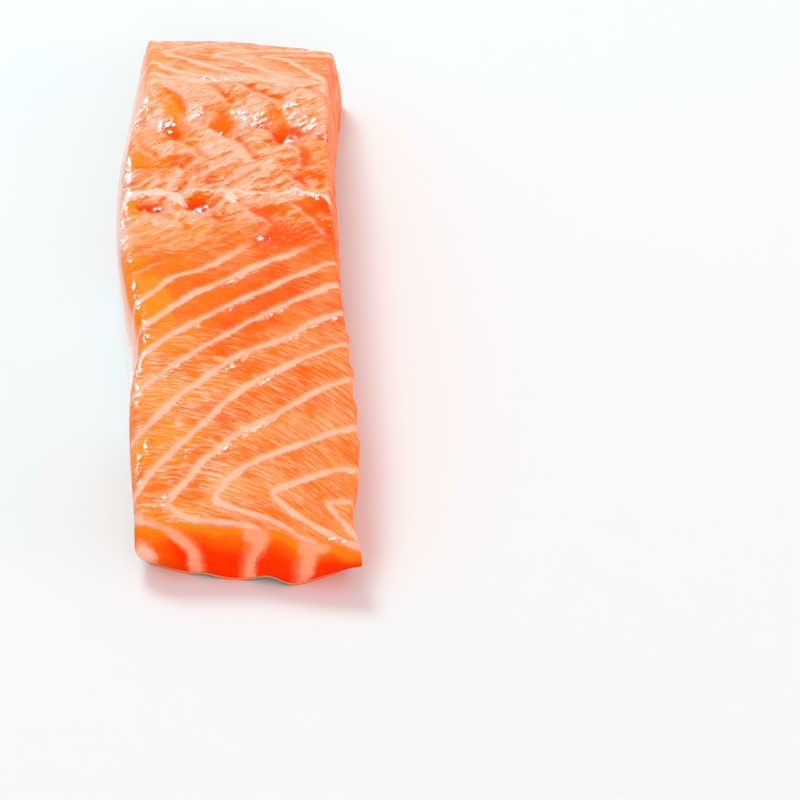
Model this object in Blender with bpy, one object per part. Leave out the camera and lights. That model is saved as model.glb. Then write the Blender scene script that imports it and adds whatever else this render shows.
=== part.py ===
"""A raw salmon portion on its skin, cut across a fillet from the back (-Y) to the belly (+Y).

Everything is worked out in millimetres, and the mesh is made in metres with +Z up.
The flesh side is up. The flat underside is the skin, which is too thin to be a solid of its own.
"""

from collections import namedtuple

import bmesh
import bpy
import numpy as np

MM = 0.001

# The corners of the upper rim: how far along Y each one lies from the middle of the portion.
BACK_LEFT, BACK_RIGHT = -87.8, -95.1
BELLY_LEFT, BELLY_RIGHT = 94.9, 87.5

# Cross-sections from the back to the belly. The foot is where a wall meets the skin, and the rim is
# where it meets the upper face, both measured from the middle. The height is the upper face's.
Section = namedtuple("Section", "y left_foot left_rim right_rim right_foot height")
SECTIONS = [
    Section(-95.0, -14.6, -18.6, 26.5, 23.8, 11.2),
    Section(-85.0, -16.4, -19.1, 24.5, 23.2, 12.5),
    Section(-70.0, -19.0, -20.1, 25.8, 24.2, 14.7),
    Section(-49.0, -20.6, -20.9, 24.4, 23.6, 17.8),
    Section(-33.0, -21.6, -19.5, 23.3, 23.0, 19.9),
    Section(-13.0, -22.8, -22.7, 21.4, 22.0, 21.8),
    Section(7.0, -24.6, -24.6, 20.0, 21.6, 23.0),
    Section(27.0, -26.1, -24.0, 19.1, 21.2, 23.7),
    Section(47.0, -26.8, -22.4, 18.6, 20.4, 24.0),
    Section(59.0, -26.5, -20.3, 18.4, 20.1, 24.0),
    Section(77.0, -25.1, -20.5, 19.0, 21.0, 24.0),
    Section(95.0, -23.3, -21.1, 20.0, 21.6, 24.0),
]
WIDTH = 44.0

# Both rims at the ends wander from the straight line between their corners, and the wander fades
# out along the upper face over this share of its length.
BACK_DISH, BACK_DISH_X, BACK_DISH_WIDTH = 1.9, 3.6, 8.0
BACK_KNOB, BACK_KNOB_X, BACK_KNOB_WIDTH = 1.3, -12.9, 4.5
BELLY_ARCH = 2.0
END_SHARE = 0.12

# Thin lips of flesh stand out from the right rim where the cut crossed a seam between two muscles.
LIP_SPACING, LIP_REACH, LIP_FIRST, LIP_LAST = 10.6, 0.7, -75.0, -21.0

# The belly flap was cut off at an angle: beyond the fold the upper face slopes down to the end.
FOLD_Y, FOLD_SKEW = 58.7, -0.08
FACET_SLOPE = 0.33
FOLD_SOFTNESS = 0.7

# Rounding of the upper rim on each side, and of the lower edge all round.
LEFT_ROUND, RIGHT_ROUND, BACK_ROUND, BELLY_ROUND = 2.2, 0.9, 3.2, 0.9
LOWER_ROUND = 1.2

# The upper face is this much higher along its middle than along its sides.
CROWN = 0.5

# How far the walls swell between rim and foot, and where the back end meets the skin: its corners
# are rounded off, more so on the left, and one muscle bulges on the right.
SIDE_SWELL, BACK_SWELL, BACK_SHARE = 0.4, 1.2, 0.05
BACK_FOOT_Y, BACK_FOOT_SKEW, BACK_CORNER = -90.8, -0.045, 4.8
LEFT_CORNER_POWER, RIGHT_CORNER_POWER = 2.0, 3.8
BULGE_X, BULGE_WIDTH, BULGE_REACH = 12.1, 5.0, 1.9

# The skin's edge curls up off the table in two places at the back end.
Curl = namedtuple("Curl", "x width height")
CURLS = [Curl(8.1, 3.2, 1.5), Curl(-4.9, 3.0, 0.6)]

# The flat face that it rests on, as a share of the foot's outline across and along.
RESTING_SHARE = np.array([0.86, 0.93])

# Torn flakes near the belly: each row has a scalloped far edge, which steps up out of a dip.
FlakeRow = namedtuple("FlakeRow", "y scallop width first_x right rise run dip dip_run")
FLAKE_ROWS = [
    FlakeRow(36.5, 4.4, 11.3, -25.0, 30.0, 0.7, 8.0, 2.0, 5.0),
    FlakeRow(22.6, 2.2, 15.0, -24.4, -8.4, 0.5, 6.0, 0.9, 5.0),
]
STEP_WIDTH = 1.3

# The torn membrane is a ridge across the portion, with two hollows under it on the left.
MEMBRANE_Y, MEMBRANE_HEIGHT, MEMBRANE_WIDTH = 15.9, 0.7, 1.9
Hollow = namedtuple("Hollow", "x y half_x half_y depth")
HOLLOWS = [Hollow(-17.2, 10.5, 3.8, 2.8, 1.7), Hollow(-9.2, 10.5, 3.4, 2.8, 1.9)]

# The torn relief dies out over this distance from the rim, and at the right end of a short row.
RELIEF_FADE = 4.0

# Mesh density: columns across, rows along, and rings down the walls as shares of their height.
# Columns and rows crowd together at the rim, and rows also over the torn flakes.
COLUMNS, ROWS = 28, 98
Crowd = namedtuple("Crowd", "at width extra")
ACROSS_CROWDS = [Crowd(0.0, 0.06, 2.0), Crowd(1.0, 0.06, 2.0)]
ALONG_CROWDS = [Crowd(0.0, 0.02, 3.0), Crowd(1.0, 0.02, 2.0), Crowd(0.66, 0.1, 1.0)]
WALL_LEVELS = [0.2, 0.45, 0.7, 0.9, 1.0]

FLESH_COLOUR = (0.93, 0.27, 0.10, 1.0)
FLESH_ROUGHNESS = 0.3


def clear_scene():
    for obj in list(bpy.data.objects):
        bpy.data.objects.remove(obj, do_unlink=True)


def mix(a, b, t):
    return a * (1 - t) + b * t


def hump(distance, width):
    return np.exp(-((distance / width) ** 2))


def fading(distance, reach):
    """1 at no distance, down to 0 at the reach and beyond it."""
    return np.clip(1 - distance / reach, 0, 1)


def smooth_through(x, knots, values):
    """A smooth curve through the knots: a cubic between each two, whose slopes don't overshoot."""
    knots, values = np.array(knots), np.array(values)
    steps = np.diff(knots)
    rates = np.diff(values) / steps
    before, after = rates[:-1], rates[1:]
    turns = before * after <= 0
    middle = np.where(turns, 0.0, 2 * before * after / np.where(turns, 1.0, before + after))
    slopes = np.concatenate([rates[:1], middle, rates[-1:]])
    piece = np.clip(np.searchsorted(knots, x) - 1, 0, len(steps) - 1)
    t = np.clip((x - knots[piece]) / steps[piece], 0.0, 1.0)
    straight = mix(values[piece], values[piece + 1], t * t * (3 - 2 * t))
    leaving = slopes[piece] * steps[piece] * t * (1 - t) ** 2
    arriving = slopes[piece + 1] * steps[piece] * t * t * (1 - t)
    return straight + leaving - arriving


def along(y, measure):
    """One measure of the cross-sections, at each y."""
    return smooth_through(y, [s.y for s in SECTIONS], [getattr(s, measure) for s in SECTIONS])


def lips(y):
    """How far the right rim's lips stand out: narrow peaks, one to each seam."""
    peak = np.abs(np.cos(np.pi * (y - LIP_FIRST) / LIP_SPACING)) ** 5
    middle, reach = (LIP_FIRST + LIP_LAST) / 2, (LIP_LAST - LIP_FIRST) / 2
    return LIP_REACH * peak * fading(np.abs(y - middle), reach) ** 0.5


def back_rim_bend(x):
    """The back end's rim is dished in the middle and stands out on the left."""
    dish = BACK_DISH * hump(x - BACK_DISH_X, BACK_DISH_WIDTH)
    return dish - BACK_KNOB * hump(x - BACK_KNOB_X, BACK_KNOB_WIDTH)


def belly_rim_bend(u):
    """The belly end's rim arches, and falls away faster at the right corner."""
    return BELLY_ARCH * np.sin(np.pi * u**1.3)


def upper_plan(u, v):
    """Where the upper face lies in plan: u from left to right, v from back to belly."""
    left_y, right_y = mix(BACK_LEFT, BELLY_LEFT, v), mix(BACK_RIGHT, BELLY_RIGHT, v)
    right_x = along(right_y, "right_rim") + lips(right_y)
    x = mix(along(left_y, "left_rim"), right_x, u)
    y = mix(left_y, right_y, u)
    y = y + back_rim_bend(x) * fading(v, END_SHARE)
    return x, y + belly_rim_bend(u) * fading(1 - v, END_SHARE)


def foot_plan(u, v):
    """Where the foot of the wall lies below a point of the rim."""
    corner = BACK_CORNER * np.abs(2 * u - 1) ** mix(LEFT_CORNER_POWER, RIGHT_CORNER_POWER, u)
    across = mix(SECTIONS[0].left_foot, SECTIONS[0].right_foot, u)
    back_y = BACK_FOOT_Y + BACK_FOOT_SKEW * across + corner
    back_y = back_y - BULGE_REACH * hump(across - BULGE_X, BULGE_WIDTH)
    belly_y = mix(BELLY_LEFT, BELLY_RIGHT, u) + belly_rim_bend(u)
    y = mix(back_y, belly_y, v)
    return mix(along(y, "left_foot"), along(y, "right_foot"), u), y


def rounding_drop(distance, radius):
    """How far a quarter round has fallen at this distance from the rim."""
    return radius * (1 - np.sqrt(1 - fading(distance, radius) ** 2))


def rim_drop(u, v):
    length = BELLY_LEFT - BACK_LEFT
    left_round = mix(LEFT_ROUND, BELLY_ROUND, fading(1 - v, END_SHARE))
    return (
        rounding_drop(u * WIDTH, left_round)
        + rounding_drop((1 - u) * WIDTH, RIGHT_ROUND)
        + rounding_drop(v * length, BACK_ROUND)
        + rounding_drop((1 - v) * length, BELLY_ROUND)
    )


def crest(x, y):
    """Height of the back, cut off by the sloping facet beyond the fold."""
    back = along(y, "height")
    facet = along(FOLD_Y, "height") - FACET_SLOPE * (y - FOLD_Y - FOLD_SKEW * x)
    return facet - FOLD_SOFTNESS * np.logaddexp(0, (facet - back) / FOLD_SOFTNESS)


def flake_relief(x, y, row):
    """A step up at the row's scalloped edge, which fades towards the back, with a dip beyond it."""
    edge = row.y + row.scallop * np.sin(np.pi * (x - row.first_x) / row.width) ** 2
    beyond = y - edge
    step = 0.5 - 0.5 * np.tanh(beyond / STEP_WIDTH)
    raised = row.rise * np.exp(-np.clip(-beyond, 0, None) / row.run)
    sunk = row.dip * hump(np.clip(beyond, 0, None), row.dip_run)
    here = 1 - fading(np.clip(row.right - x, 0, None), RELIEF_FADE)
    return here * mix(-sunk, raised, step)


def relief(x, y):
    total = MEMBRANE_HEIGHT * hump(y - MEMBRANE_Y, MEMBRANE_WIDTH)
    for row in FLAKE_ROWS:
        total = total + flake_relief(x, y, row)
    for hollow in HOLLOWS:
        apart = np.hypot((x - hollow.x) / hollow.half_x, (y - hollow.y) / hollow.half_y)
        total = total - hollow.depth * hump(apart, 1.0)
    return total


def upper_face(u, v):
    x, y = upper_plan(u, v)
    away_from_rim = 1 - fading(np.minimum(u, 1 - u) * WIDTH, RELIEF_FADE)
    z = crest(x, y) + CROWN * (1 - (2 * u - 1) ** 2) - rim_drop(u, v)
    return np.stack([x, y, z + relief(x, y) * away_from_rim], axis=-1)


def spaced(count, *crowds):
    """Steps from 0 to 1 that lie closer together around each crowd."""
    fine = np.linspace(0, 1, 2001)
    density = 1 + sum(crowd.extra * hump(fine - crowd.at, crowd.width) for crowd in crowds)
    filled = np.concatenate([[0], np.cumsum((density[1:] + density[:-1]) / 2)])
    return np.interp(np.linspace(0, filled[-1], count + 1), filled, fine)


def across_steps():
    return spaced(COLUMNS, *ACROSS_CROWDS)


def along_steps():
    return spaced(ROWS, *ALONG_CROWDS)


def rim_parameters():
    """(u, v) once round the upper face, anticlockwise from the back left corner."""
    across, length = across_steps(), along_steps()
    back = [(u, 0.0) for u in across[:-1]]
    right = [(1.0, v) for v in length[:-1]]
    belly = [(u, 1.0) for u in across[:0:-1]]
    left = [(0.0, v) for v in length[:0:-1]]
    return np.array(back + right + belly + left).T


def outward(ring):
    """Unit vectors in plan that point out of a ring which runs anticlockwise."""
    run = np.roll(ring, -1, axis=0) - np.roll(ring, 1, axis=0)
    normal = np.stack([run[:, 1], -run[:, 0]], axis=-1)
    return normal / np.linalg.norm(normal, axis=1, keepdims=True)


def wall_rings():
    """Rings of points down the wall, from under the rim to the lower edge, then the resting face."""
    u, v = rim_parameters()
    rim = upper_face(u, v)
    foot = np.stack(foot_plan(u, v), axis=-1)
    out = outward(foot)
    at_back = fading(v, BACK_SHARE)
    swell = mix(SIDE_SWELL, BACK_SWELL, at_back)
    lift = at_back * sum(curl.height * hump(foot[:, 0] - curl.x, curl.width) for curl in CURLS)
    rings = []
    for level in WALL_LEVELS:
        z = mix(rim[:, 2], lift, level)
        reach = swell * np.sin(np.pi * level) - rounding_drop(z - lift, LOWER_ROUND)
        rings.append(np.column_stack([mix(rim[:, :2], foot, level) + out * reach[:, None], z]))
    rings.append(np.column_stack([foot * RESTING_SHARE, np.zeros(len(u))]))
    return rings


def build_mesh(name):
    bm = bmesh.new()
    points = upper_face(*np.meshgrid(across_steps(), along_steps()))
    grid = [[bm.verts.new(tuple(point * MM)) for point in row] for row in points]
    for row, further in zip(grid, grid[1:]):
        for i in range(COLUMNS):
            bm.faces.new([row[i], row[i + 1], further[i + 1], further[i]])
    back, belly = grid[0][:-1], grid[-1][:0:-1]
    right, left = [row[-1] for row in grid[:-1]], [row[0] for row in grid[:0:-1]]
    upper = back + right + belly + left
    for ring in wall_rings():
        lower = [bm.verts.new(tuple(point * MM)) for point in ring]
        for i, vert in enumerate(upper):
            after = (i + 1) % len(upper)
            bm.faces.new([vert, lower[i], lower[after], upper[after]])
        upper = lower
    bm.faces.new(upper[::-1])
    bmesh.ops.recalc_face_normals(bm, faces=bm.faces)
    mesh = bpy.data.meshes.new(name)
    bm.to_mesh(mesh)
    bm.free()
    mesh.shade_smooth()
    mesh.set_sharp_from_angle(angle=np.radians(60))
    return mesh


def centre_on_origin(mesh):
    """Moves the mesh so that the middle of its box in plan is at the origin."""
    corners = np.array([vert.co for vert in mesh.vertices])
    middle = (corners.min(axis=0) + corners.max(axis=0)) / 2
    for vert in mesh.vertices:
        vert.co.x -= middle[0]
        vert.co.y -= middle[1]


def flesh_material():
    material = bpy.data.materials.new("salmon_flesh")
    material.use_nodes = True
    shader = material.node_tree.nodes["Principled BSDF"]
    shader.inputs["Base Color"].default_value = FLESH_COLOUR
    shader.inputs["Roughness"].default_value = FLESH_ROUGHNESS
    shader.inputs["Metallic"].default_value = 0.0
    return material


def main():
    clear_scene()
    mesh = build_mesh("fillet")
    centre_on_origin(mesh)
    mesh.materials.append(flesh_material())
    fillet = bpy.data.objects.new("fillet", mesh)
    bpy.context.collection.objects.link(fillet)


main()
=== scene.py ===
"""The looks of a raw salmon portion: torn flakes, fat seams, muscle fibres, wet gloss and skin.

Shapes are worked out in millimetres, in the CAD's frame, and made in metres: the back end is at -Y,
the belly end at +Y, the flesh is up and the skin is down.
"""

from collections import namedtuple

import bpy
import numpy as np
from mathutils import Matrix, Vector, noise


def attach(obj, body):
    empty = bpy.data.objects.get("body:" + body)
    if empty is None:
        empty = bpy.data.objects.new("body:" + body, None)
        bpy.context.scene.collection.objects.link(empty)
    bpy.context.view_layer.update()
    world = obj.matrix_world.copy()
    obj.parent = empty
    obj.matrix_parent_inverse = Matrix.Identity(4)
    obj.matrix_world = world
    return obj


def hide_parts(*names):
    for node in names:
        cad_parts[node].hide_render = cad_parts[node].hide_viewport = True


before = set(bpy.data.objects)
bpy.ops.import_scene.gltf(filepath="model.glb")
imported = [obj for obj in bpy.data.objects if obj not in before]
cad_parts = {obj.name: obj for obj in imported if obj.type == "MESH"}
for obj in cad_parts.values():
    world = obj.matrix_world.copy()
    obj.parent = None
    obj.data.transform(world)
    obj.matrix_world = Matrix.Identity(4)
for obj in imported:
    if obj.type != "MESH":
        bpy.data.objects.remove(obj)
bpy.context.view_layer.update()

MM = 0.001

# --------------------------------------
# Form of the portion, as in the CAD part

BACK_LEFT, BACK_RIGHT = -87.8, -95.1
BELLY_LEFT, BELLY_RIGHT = 94.9, 87.5

Section = namedtuple("Section", "y left_foot left_rim right_rim right_foot height")
SECTIONS = [Section(*row) for row in [
    (-95, -14.6, -18.6, 26.5, 23.8, 11.2),
    (-85, -16.4, -19.1, 24.5, 23.2, 12.5),
    (-70, -19, -20.1, 25.8, 24.2, 14.7),
    (-49, -20.6, -20.9, 24.4, 23.6, 17.8),
    (-33, -21.6, -19.5, 23.3, 23, 19.9),
    (-13, -22.8, -22.7, 21.4, 22, 21.8),
    (7, -24.6, -24.6, 20, 21.6, 23),
    (27, -26.1, -24, 19.1, 21.2, 23.7),
    (47, -26.8, -22.4, 18.6, 20.4, 24),
    (59, -26.5, -20.3, 18.4, 20.1, 24),
    (77, -25.1, -20.5, 19, 21, 24),
    (95, -23.3, -21.1, 20, 21.6, 24),
]]
WIDTH, LENGTH = 44.0, 183.0
BACK_DISH, BACK_DISH_X, BACK_DISH_WIDTH = 1.9, 3.6, 8.0
BACK_KNOB, BACK_KNOB_X, BACK_KNOB_WIDTH = 1.3, -12.9, 4.5
BELLY_ARCH = 2.0
END_SHARE = 0.12
LIP_SPACING, LIP_REACH, LIP_FIRST, LIP_LAST = 10.6, 0.7, -75.0, -21.0
FOLD_Y, FOLD_SKEW, FOLD_HEIGHT = 58.7, -0.08, 24.0
FACET_SLOPE, FOLD_SOFTNESS = 0.33, 0.5
LEFT_ROUND, RIGHT_ROUND, BACK_ROUND, BELLY_ROUND = 2.2, 0.9, 3.2, 0.9
LOWER_ROUND = 0.3
CROWN = 0.5
SIDE_SWELL, BACK_SWELL, BACK_SHARE = 0.4, 1.2, 0.05
BACK_FOOT_Y, BACK_FOOT_SKEW, BACK_CORNER = -90.8, -0.045, 4.8
LEFT_CORNER_POWER, RIGHT_CORNER_POWER = 2.0, 3.8
BULGE_X, BULGE_WIDTH, BULGE_REACH = 12.1, 5.0, 1.9
Curl = namedtuple("Curl", "x width height")
CURLS = [Curl(8.1, 3.2, 1.5), Curl(-4.9, 3.0, 0.6)]
CURL_SHARE = 0.035


def mix(a, b, t):
    return a * (1 - t) + b * t


def hump(distance, width):
    return np.exp(-((distance / width) ** 2))


def fading(distance, reach):
    """1 at no distance, down to 0 at the reach and beyond it."""
    return np.clip(1 - distance / reach, 0, 1)


def smoothly(value, low, high):
    """0 below low and 1 above high, with a smooth change between."""
    t = np.clip((value - low) / (high - low), 0, 1)
    return t * t * (3 - 2 * t)


def smooth_through(x, knots, values):
    """A smooth curve through the knots: a cubic between each two, whose slopes don't overshoot."""
    knots, values = np.array(knots), np.array(values)
    steps = np.diff(knots)
    rates = np.diff(values) / steps
    before, after = rates[:-1], rates[1:]
    turns = before * after <= 0
    middle = np.where(turns, 0.0, 2 * before * after / np.where(turns, 1.0, before + after))
    slopes = np.concatenate([rates[:1], middle, rates[-1:]])
    piece = np.clip(np.searchsorted(knots, x) - 1, 0, len(steps) - 1)
    t = np.clip((x - knots[piece]) / steps[piece], 0.0, 1.0)
    straight = mix(values[piece], values[piece + 1], t * t * (3 - 2 * t))
    leaving = slopes[piece] * steps[piece] * t * (1 - t) ** 2
    arriving = slopes[piece + 1] * steps[piece] * t * t * (1 - t)
    return straight + leaving - arriving


def along(y, measure):
    return smooth_through(y, [s.y for s in SECTIONS], [getattr(s, measure) for s in SECTIONS])


def lips(y):
    """How far the right rim's lips stand out: narrow peaks, one to each seam."""
    peak = np.abs(np.cos(np.pi * (y - LIP_FIRST) / LIP_SPACING)) ** 5
    middle, reach = (LIP_FIRST + LIP_LAST) / 2, (LIP_LAST - LIP_FIRST) / 2
    return LIP_REACH * peak * fading(np.abs(y - middle), reach) ** 0.5


def belly_rim_bend(u):
    return BELLY_ARCH * np.sin(np.pi * u**1.3)


def upper_plan(u, v):
    """Where the upper face lies in plan: u from left to right, v from back to belly."""
    left_y, right_y = mix(BACK_LEFT, BELLY_LEFT, v), mix(BACK_RIGHT, BELLY_RIGHT, v)
    right_x = along(right_y, "right_rim") + lips(right_y)
    x = mix(along(left_y, "left_rim"), right_x, u)
    dish = BACK_DISH * hump(x - BACK_DISH_X, BACK_DISH_WIDTH)
    back_bend = dish - BACK_KNOB * hump(x - BACK_KNOB_X, BACK_KNOB_WIDTH)
    y = mix(left_y, right_y, u) + back_bend * fading(v, END_SHARE)
    return x, y + belly_rim_bend(u) * fading(1 - v, END_SHARE)


def foot_plan(u, v):
    """Where the foot of the wall lies below a point of the rim, and the skin inside it."""
    corner = BACK_CORNER * np.abs(2 * u - 1) ** mix(LEFT_CORNER_POWER, RIGHT_CORNER_POWER, u)
    across = mix(SECTIONS[0].left_foot, SECTIONS[0].right_foot, u)
    back_y = BACK_FOOT_Y + BACK_FOOT_SKEW * across + corner
    back_y = back_y - BULGE_REACH * hump(across - BULGE_X, BULGE_WIDTH)
    belly_y = mix(BELLY_LEFT, BELLY_RIGHT, u) + belly_rim_bend(u)
    y = mix(back_y, belly_y, v)
    return mix(along(y, "left_foot"), along(y, "right_foot"), u), y


def rounding_drop(distance, radius):
    return radius * (1 - np.sqrt(1 - fading(distance, radius) ** 2))


def rim_drop(u, v):
    left_round = mix(LEFT_ROUND, BELLY_ROUND, fading(1 - v, END_SHARE))
    return (
        rounding_drop(u * WIDTH, left_round)
        + rounding_drop((1 - u) * WIDTH, RIGHT_ROUND)
        + rounding_drop(v * LENGTH, BACK_ROUND)
        + rounding_drop((1 - v) * LENGTH, BELLY_ROUND)
    )


def crest(x, y):
    """Height of the back, cut off by the sloping facet beyond the fold."""
    back = along(y, "height")
    facet = FOLD_HEIGHT - FACET_SLOPE * (y - FOLD_Y - FOLD_SKEW * x)
    return facet - FOLD_SOFTNESS * np.logaddexp(0, (facet - back) / FOLD_SOFTNESS)


def curl_lift(x, v):
    """How far the skin's edge is off the table at the back end."""
    return fading(v, CURL_SHARE) ** 2 * sum(c.height * hump(x - c.x, c.width) for c in CURLS)


# --------------------------------------
# Lines on the flesh. A route is a smooth line through a few points of the pattern plane, which is
# the upper face in plan, continued outwards by the back end's rounding and by the walls, laid flat.

# Seams of fat between the muscle segments: from the left or the back end's wall, round a chevron's
# tip where there is one, towards the right wall.
SEAMS = [
    [(-39.7, -36.5), (-19.7, -21.5), (-13.2, -14.5), (-7.2, -11.5), (0.4, -5.4), (6, 2.2), (8, 5.3),
     (1.9, 10.9), (-0.5, 13.8)],
    [(-39.7, -46.5), (-19.1, -29.9), (-11.1, -21.9), (-3.7, -16.5), (5.3, -9.5), (12.8, -5),
     (18.3, 1.2), (15.9, 6.3), (10.5, 13.3)],
    [(-39.7, -56.5), (-19.6, -39.2), (-12.6, -32.4), (-3.7, -25.5), (6.3, -18), (15.8, -11.4),
     (21.1, -8.5), (42.1, -4.5)],
    [(-39.7, -68.4), (-20.1, -50.5), (-10.6, -40.4), (-2.2, -33.5), (8.8, -24.5), (17.8, -18),
     (21.1, -16), (42.1, -10.5)],
    [(-39.6, -84.4), (-19.6, -63.2), (-13, -54.3), (-6.1, -46.4), (1.8, -39), (10.3, -34),
     (21.2, -25.5), (42.1, -20.5)],
    [(-39.7, -92.5), (-23.7, -84.5), (-18.5, -78.3), (-14.5, -71.3), (-7, -61.3), (0.9, -50.9),
     (8.3, -44.5), (22.2, -35.5), (42.1, -30.5)],
    [(-30, -78), (-20.4, -83.5), (-17.5, -87.5), (-15.9, -88.5), (-12.9, -90), (-10.9, -91.5), (-9, -93.9),
     (-7.9, -95.5), (-7.8, -98), (-9.6, -104)],
    [(3.6, -108), (3.8, -100.3), (4.6, -96.7), (5.9, -94.2), (6.1, -92), (5.2, -90), (2.1, -88.9),
     (-2.9, -88), (-5.9, -87.8), (-8, -86.9), (-10, -85.7), (-11.6, -84), (-12.4, -82), (-7.5, -74.3),
     (-4.5, -69.3), (2.4, -61.9), (8.8, -57.1), (23.3, -46), (42.1, -40.5)],
    [(15.6, -109), (15.8, -102.8), (15.8, -98.4), (16.8, -95.8), (16.7, -94), (14.1, -92.3), (12.1, -90.6),
     (9.1, -88.4), (6.1, -86.7), (2, -85.1), (-1, -83.2), (-2.8, -80.6), (0.8, -74.8), (6.8, -69.5),
     (13.3, -66.1), (24.7, -60.5), (42.1, -56.5)],
    [(30, -95.4), (26.5, -95), (24.1, -94.3), (22.1, -93.2), (20.1, -91.7), (17.1, -89.3),
     (14.1, -86.8), (12.1, -84.8), (10.1, -82.4), (8.7, -79.5), (12.3, -77.4), (18.7, -73.9),
     (25.1, -72.5), (42.1, -70.5)],
    [(29, -97), (24.7, -91), (23.1, -88.4), (21.1, -85.2), (19.7, -82.7), (22.1, -82.2), (42.1, -80.5)],
]
SEAM_HALF_WIDTH = 0.57

# Seams on the sloping facet: chevrons that point to the left, drawn out over the belly end's wall.
FACET_SEAMS = [
    [(24, 108), (14, 99), (4, 95), (-4, 92), (-8.5, 89.5), (-17, 84.5), (-12.5, 77.5), (-7, 71),
     (-1.4, 65.5), (2, 60.5)],
    [(34, 102), (20, 89.5), (9, 86.5), (0, 84.6), (-6, 81), (-0.6, 76.5), (5, 68.8), (10.5, 62),
     (15, 58.8)],
    [(42, 92), (26, 85.5), (19, 84), (10, 82.9), (4.8, 81), (9, 79), (12.5, 72), (17, 64), (18.7, 57.5)],
    [(-40, 96), (-21, 77.5), (-16.6, 70.3), (-11, 64.6), (-5.5, 61.3)],
    [(-40, 76), (-21, 67.5), (-16.4, 63), (-12, 62.2)],
    [(-8, 112), (-14, 99), (-19, 92)],
    [(8, 112), (0, 101), (-9, 94.5)],
]
FACET_SEAM_HALF_WIDTH = 0.75

# Seams that show only on the right wall's far half.
WALL_SEAMS = [
    [(19.5, 14), (27, 8), (44, 2)],
    [(20, 27), (28, 19), (44, 14)],
    [(19.5, 39), (27, 32), (44, 27)],
    [(19, 50), (27, 45), (44, 40)],
    [(18.5, 62), (27, 57), (44, 54)],
    [(19, 74), (28, 70), (44, 68)],
]
WALL_SEAM_HALF_WIDTH = 0.55
SEAM_REACH = 9.0

# Where the back end's cut face begins, from left to right.
CUT_EDGE = [
    (-24, -84.3), (-17.5, -88.3), (-13.9, -88.4), (-9.9, -88), (-5.9, -88.7), (0.1, -89.5), (4.1, -90.2),
    (9.3, -90.4), (12.1, -92.2), (14.1, -93.4), (17, -94.2), (20.5, -93.4), (23.1, -95), (27, -95.8),
]

# How the muscle fibres fan out, at the back side and at the belly side.
FAN_BACK_X, FAN_BELLY_X, FAN_BACK_BEND, FAN_BELLY_BEND = -17.0, -26.0, 0.028, 0.011

# The meshes' rows, and how far down the wall each ring is.
COLUMNS, ROWS = 124, 540
WALL_LEVELS = [0.05, 0.11, 0.18, 0.25, 0.32, 0.39, 0.46, 0.53, 0.6, 0.67, 0.74, 0.81, 0.88, 0.94, 0.98, 1.0]
SKIN_COLUMNS, SKIN_ROWS = 44, 180
SKIN_THICKNESS = 0.5
SKIN_INSET = np.array([0.15 / 22, 0.15 / 92])

# Low relief of the flesh: how high each form stands, and how wide it is.
TORN_LUMP, TORN_LUMP_SIZE, TORN_GRAIN, TORN_GRAIN_SIZE = 0.5, 4.5, 0.25, 1.8
SWAY, SWAY_SIZE = 0.22, 9.0
RIDGE, RIDGE_WIDTH = 0.1, 0.9
DITCH, DITCH_OFFSET, DITCH_WIDTH = 0.14, 1.3, 0.6
WALL_RIPPLE, WALL_RIPPLE_SIZE = 0.16, 4.0

# Where the flesh is torn loose, from the back side to the fold.
LOOSE_START, LOOSE_FULL = -12.0, 10.0

# Torn flakes: each one's far edge is an arch that stands over the dip beyond it, with a pale lip that is
# partly a painted highlight, and painted shade in the dip, stronger the deeper the dip.
Flake = namedtuple("Flake", "x half_width top_y base_y rise run dip dip_run")
FLAKES = [
    Flake(-19.6, 5.4, 41.8, 35, 0.7, 7, 2.3, 5),
    Flake(-8.1, 6.2, 40.6, 36.2, 0.7, 7, 2.5, 5.5),
    Flake(3.7, 5.5, 41, 35.4, 0.6, 6, 2, 4.5),
    Flake(14.4, 4.9, 38.4, 34, 0.5, 5, 2.2, 5.5),
    Flake(-16.8, 8, 25.9, 20, 0.5, 5, 1, 4.5),
]
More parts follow.
